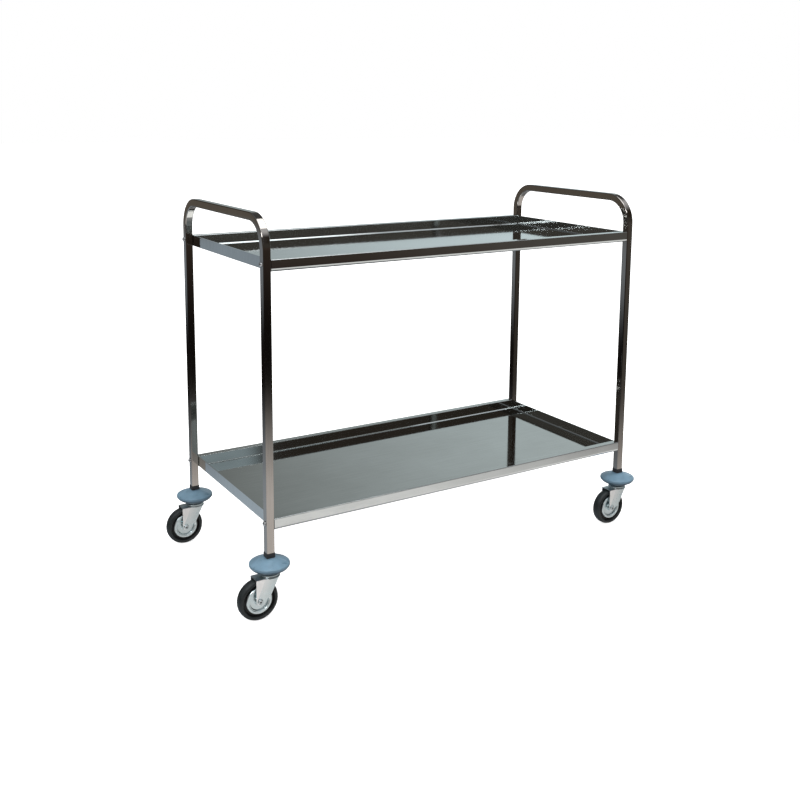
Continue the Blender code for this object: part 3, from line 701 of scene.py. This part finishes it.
def fork_mesh(size):
    """Sheet fork: a crown plate, round in front, and two tapered arms with round eyes.

    The crown's top is CROWN_DROP lower than the CAD's, which shows the ball race. Its underside stays
    where the CAD has it, clear of the caster stem's head.
    """
    low, high = size["boxes"]["fork"]
    trail, axle_z = size["trail"], size["axle"].z
    crown_top = high.z - CROWN_DROP
    crown_under = high.z - FORK_SHEET
    crown_middle = (crown_top + crown_under) / 2
    crown_radius = high.x - size["axis"].x
    half_outside = FORK_OUTSIDE / 2
    rear = -(size["axis"].x - low.x)
    corner = math.asin(half_outside / crown_radius)
    crown = [Vector((rear, -half_outside))]
    for step in range(49):
        turn = -math.pi + corner + (2 * math.pi - 2 * corner) * step / 48
        crown.append(crown_radius * Vector((math.cos(turn), math.sin(turn))))
    crown.append(Vector((rear, half_outside)))
    plate = prism("fork_crown", crown, crown_under, crown_top, "Z")
    steps = []
    axle = Vector((-trail, axle_z))
    reach = FORK_WAIST - axle
    tangent = math.atan2(reach.y, reach.x) - math.acos(FORK_EYE_RADIUS / reach.length)
    arm = [Vector((-trail - FORK_EYE_RADIUS, crown_middle))]
    for step in range(25):
        turn = math.pi + (math.pi + tangent) * step / 24
        arm.append(axle + FORK_EYE_RADIUS * Vector((math.cos(turn), math.sin(turn))))
    arm += [FORK_WAIST, Vector((FORK_FRONT, crown_under)), Vector((FORK_FRONT, crown_middle))]
    for side in (-1, 1):
        inner, outer = sorted((side * (half_outside - FORK_SHEET), side * half_outside))
        steps.append(("UNION", prism("fork_arm", arm, inner, outer, "Y")))
    stem_hole = prism("stem_hole", circle(STEM_HOLE, 40), crown_under - 0.01, crown_top + 0.01, "Z")
    axle_hole = prism("axle_hole", circle(AXLE_HOLE, 40, (-trail, axle_z)), -FORK_OUTSIDE, FORK_OUTSIDE, "Y")
    steps += [("DIFFERENCE", stem_hole), ("DIFFERENCE", axle_hole)]
    return combined("fork", plate, steps, 0.0005)


def rim_mesh(size):
    """Wheel centre pressed from steel: hub, flat web, groove and a raised outer ring."""
    low, high = size["boxes"]["wheel_rim"]
    half_hub = (high.y - low.y) / 2
    half = RIM_HALF_WIDTH
    dish = half - RIM_DISH
    side = [(AXLE_HOLE, half_hub, 0), (0.0095, half_hub, 0.0010), (0.0104, dish, 0.0012),
            (0.0228, dish, 0.0012), (0.0240, half - 0.0010, 0.0010), (0.0262, half - 0.0010, 0.0006),
            (0.0270, half, 0.0006), (0.0314, half, 0.0008), (RIM_RADIUS, half - 0.0012, 0.0006)]
    return turned("wheel_rim", side + [(u, -v, r) for u, v, r in reversed(side)], 96, "Y", 4)


def tyre_mesh(size):
    """Solid rubber tyre: recess beside the rim, round shoulders and a slightly crowned tread."""
    low, high = size["boxes"]["tyre"]
    half = (high.y - low.y) / 2
    radius = size["wheel_radius"]
    recess = half - TYRE_RECESS_DEPTH
    side = [(TYRE_BORE, recess, 0), (0.0375, recess, 0.0020), (0.0400, half - 0.0018, 0.0016),
            (0.0425, half, 0.0018), (0.0476, half - 0.0022, 0.0032), (radius, half - 0.0082, 0.0050)]
    return turned("tyre", side + [(u, -v, r) for u, v, r in reversed(side)], 128, "Y", 6)


def axle_bolt_mesh(size):
    """Axle with a domed head that has a small dimple in its middle."""
    low, high = size["boxes"]["axle_bolt"]
    middle_y = size["axle"].y
    near, far = low.y - middle_y, high.y - middle_y
    head = (high.x - low.x) / 2
    seat = -(FORK_OUTSIDE / 2 + FIT)
    corners = [(0, near + 0.0026, 0), (0.0019, near + 0.0026, 0.0004), (0.0022, near + 0.0002, 0.0003),
               (head * 0.72, near, 0.0010), (head, near + 0.0016, 0.0010), (head, seat, 0.0002),
               (AXLE_RADIUS, seat, 0), (AXLE_RADIUS, far, 0.0005), (0, far, 0)]
    return turned("axle_bolt", [(u, -v, r) for u, v, r in corners], 48, "Y", 5)


def axle_nut_mesh(size):
    """Hexagon nut with chamfered corners."""
    low, high = size["boxes"]["axle_nut"]
    height = high.y - low.y
    corner = (high.z - low.z) / 2
    body = prism("nut", circle(corner, 6), 0, height, "Y")
    chamfer = turned("nut_chamfer", [(0, 0, 0), (corner * 1.02, 0, 0), (corner * 1.02, -height + 0.0012, 0),
                                     (corner * 0.88, -height, 0), (0, -height, 0)], 48, "Y")
    hole = prism("nut_hole", circle(AXLE_HOLE, 32), -height, 2 * height, "Y")
    return combined("axle_nut", body, [("INTERSECT", chamfer), ("DIFFERENCE", hole)], 0.0002)


def caster_meshes():
    """One mesh for each caster piece, shared by the four casters."""
    low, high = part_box("left_frame")
    tube = high.x - low.x
    size = measure_caster("front_left")
    return {
        "leg_collar": collar_mesh(size, tube),
        "bumper": bumper_mesh(size, tube),
        "swivel_cup": cup_mesh(size),
        "ball_race": race_mesh(size),
        "fork": fork_mesh(size),
        "wheel_rim": rim_mesh(size),
        "tyre": tyre_mesh(size),
        "axle_bolt": axle_bolt_mesh(size),
        "axle_nut": axle_nut_mesh(size),
    }


def add_casters(finishes):
    meshes = caster_meshes()
    for name in CORNERS:
        size = measure_caster(name)
        for piece, finish, slot, body, centre in CASTER_PIECES:
            place = size[centre].copy()
            if piece == "axle_nut":
                place.y = size["boxes"]["axle_nut"][0].y
            add_piece(f"{name}_{piece}_fine", meshes[piece], finishes[finish], body.format(name),
                      place, node=f"{name}_{piece}")


def finish_cad_nodes(finishes):
    """Better materials for the CAD nodes that stay: tray nuts and caster stems."""
    for name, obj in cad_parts.items():
        if "_nut_" in name:
            finish = finishes["bolt"]
        elif name.endswith("caster_stem"):
            finish = finishes["zinc"]
        else:
            continue
        obj.data.materials.clear()
        obj.data.materials.append(finish)


# Stage, light and camera

def add_floor():
    """Pale paper floor. It isn't seen in the polished steel, where the room's own gradient shows."""
    bm = bmesh.new()
    bmesh.ops.create_grid(bm, x_segments=8, y_segments=8, size=30.0)
    floor = bpy.data.objects.new("floor", finish_mesh("floor", bm, smooth=False))
    bpy.context.scene.collection.objects.link(floor)
    floor.location = (0, 0, -0.0005)
    material = bpy.data.materials.new("floor_paper")
    material.use_nodes = True
    shader = material.node_tree.nodes["Principled BSDF"]
    shader.inputs["Base Color"].default_value = (0.93, 0.93, 0.93, 1)
    shader.inputs["Roughness"].default_value = 0.85
    shader.inputs["Specular IOR Level"].default_value = 0.0
    shader.inputs["Emission Color"].default_value = (1, 1, 1, 1)
    shader.inputs["Emission Strength"].default_value = FLOOR_GLOW
    floor.data.materials.append(material)
    floor.visible_glossy = False
    floor.visible_diffuse = False


class Room:
    """World shader built from smooth steps along the directions in the room."""

    def __init__(self, tree):
        self.tree = tree
        direction = tree.nodes.new("ShaderNodeTexCoord").outputs["Generated"]
        split = tree.nodes.new("ShaderNodeSeparateXYZ")
        tree.links.new(direction, split.inputs[0])
        self.x, self.y, self.z = split.outputs

    def step(self, source, start, end):
        made = self.tree.nodes.new("ShaderNodeMapRange")
        made.interpolation_type = "SMOOTHSTEP"
        made.inputs["From Min"].default_value = start
        made.inputs["From Max"].default_value = end
        self.tree.links.new(source, made.inputs["Value"])
        return made.outputs["Result"]

    def mix(self, share, first, second):
        made = self.tree.nodes.new("ShaderNodeMix")
        made.data_type = "RGBA"
        for socket, value in ((made.inputs[0], share), (made.inputs[6], first), (made.inputs[7], second)):
            if isinstance(value, tuple):
                socket.default_value = (*value, 1)
            else:
                self.tree.links.new(value, socket)
        return made.outputs[2]


def choose(tree, share, first, second):
    made = tree.nodes.new("ShaderNodeMixShader")
    for socket, source in zip(made.inputs, (share, first, second)):
        tree.links.new(source, socket)
    return made.outputs[0]


def add_world():
    """Studio room: light wall behind the cart, dark room before it, bright near floor and ceiling."""
    world = bpy.data.worlds.new("studio")
    bpy.context.scene.world = world
    world.use_nodes = True
    tree = world.node_tree
    tree.nodes.clear()
    room = Room(tree)
    behind = room.step(room.y, -0.10, 0.10)
    rightward = room.step(room.x, 0.46, 0.74)

    wall_low = room.mix(room.step(room.x, 0.05, 0.68), WALL_SHADE, WALL_LIGHT)
    wall_high = room.mix(room.step(room.x, 0.15, 0.66), WALL_SHADE, WALL_HIGH)
    wall = room.mix(room.step(room.z, 0.12, 0.36), wall_low, wall_high)
    wall_top = room.mix(room.step(room.x, -0.35, -0.20), WALL_SHADE_HIGH, WALL_TOP)
    wall = room.mix(room.step(room.z, 0.38, 0.50), wall, wall_top)
    window = room.mix(room.step(room.x, 0.385, 0.365), ROOM_HIGH, WINDOW)
    window = room.mix(room.step(room.x, 0.25, 0.15), window, ROOM_HIGH)
    front = room.mix(room.step(room.z, 0.16, 0.26), ROOM_HAZE, window)
    ceiling = room.mix(room.step(room.y, -0.05, 0.30), CEILING, wall_top)
    upper = room.mix(room.step(room.z, 0.50, 0.78), room.mix(behind, front, wall), ceiling)

    far_front = room.mix(room.step(room.z, -0.10, -0.22), HORIZON_FRONT, ROOM_DARK)
    far_front = room.mix(rightward, far_front, ROOM_DARK_RIGHT)
    band = room.mix(room.step(room.z, -0.105, -0.135), HORIZON_BEHIND, BAND_BEHIND)
    far_behind = room.mix(room.step(room.z, -0.15, -0.23), band, ROOM_DARK)
    near_front = room.mix(room.step(room.z, -0.74, -0.90), NEAR_FLOOR, FLOOR_BELOW)
    near_behind = room.mix(room.step(room.x, -0.10, 0.15), NEAR_FLOOR_BEHIND, FLOOR_SHADE)
    near = room.mix(behind, near_front, near_behind)
    lower = room.mix(room.step(room.z, -0.26, -0.385), room.mix(behind, far_front, far_behind), near)
    light = room.mix(room.step(room.z, -0.05, 0.02), lower, upper)
    soft = room.mix(room.step(room.z, -0.15, 0.35), FLOOR_BOUNCE, SKY_SOFT)

    seen = tree.nodes.new("ShaderNodeBackground")
    seen.inputs["Color"].default_value = (1, 1, 1, 1)
    seen.inputs["Strength"].default_value = 1.0
    mirrored = tree.nodes.new("ShaderNodeBackground")
    tree.links.new(light, mirrored.inputs["Color"])
    diffuse = tree.nodes.new("ShaderNodeBackground")
    tree.links.new(soft, diffuse.inputs["Color"])
    rays = tree.nodes.new("ShaderNodeLightPath")
    unseen = choose(tree, rays.outputs["Is Diffuse Ray"], mirrored.outputs[0], diffuse.outputs[0])
    shown = choose(tree, rays.outputs["Is Camera Ray"], unseen, seen.outputs[0])
    out = tree.nodes.new("ShaderNodeOutputWorld")
    tree.links.new(shown, out.inputs[0])


def add_light(name, location, target, size, energy):
    light = bpy.data.lights.new(name, "AREA")
    light.shape = "RECTANGLE"
    light.size, light.size_y = size
    light.energy = energy
    obj = bpy.data.objects.new(name, light)
    bpy.context.scene.collection.objects.link(obj)
    obj.location = location
    obj.rotation_mode = "QUATERNION"
    obj.rotation_quaternion = (Vector(target) - Vector(location)).to_track_quat("-Z", "Y")


def add_studio():
    add_floor()
    add_world()
    add_light("overhead", location=(0.3, -0.6, 4.2), target=(0.1, 0.0, 0.4), size=(3.0, 2.4), energy=60)
    add_light("key_left", location=(-3.2, -2.6, 3.4), target=(0.0, 0.0, 0.5), size=(1.2, 1.2), energy=60)


def add_camera():
    """Camera at about the photographed angle, tilted a little so that it needs less shift."""
    data = bpy.data.cameras.new("camera")
    data.sensor_width = 36.0
    data.lens = CAMERA_LENS
    data.shift_y = CAMERA_SHIFT
    data.clip_start = 0.05
    camera = bpy.data.objects.new("camera", data)
    bpy.context.scene.collection.objects.link(camera)
    leg_centre = (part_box("left_frame")[0].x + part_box("right_frame")[1].x) / 2
    camera.location = Vector(CAMERA_PLACE) + Vector((leg_centre, 0, 0))
    turn = Matrix.Rotation(CAMERA_TURN, 4, "Z")
    tilt = Matrix.Rotation(CAMERA_TILT, 4, "X")
    roll = Matrix.Rotation(CAMERA_ROLL, 4, "Z")
    camera.rotation_mode = "QUATERNION"
    camera.rotation_quaternion = (turn @ tilt @ roll).to_quaternion()
    bpy.context.scene.camera = camera


def main():
    bpy.context.scene.view_settings.view_transform = "Standard"
    add_camera()
    add_studio()
    finishes = make_finishes()
    add_frames(finishes)
    add_trays(finishes)
    add_tray_bolts(finishes)
    add_casters(finishes)
    finish_cad_nodes(finishes)


main()
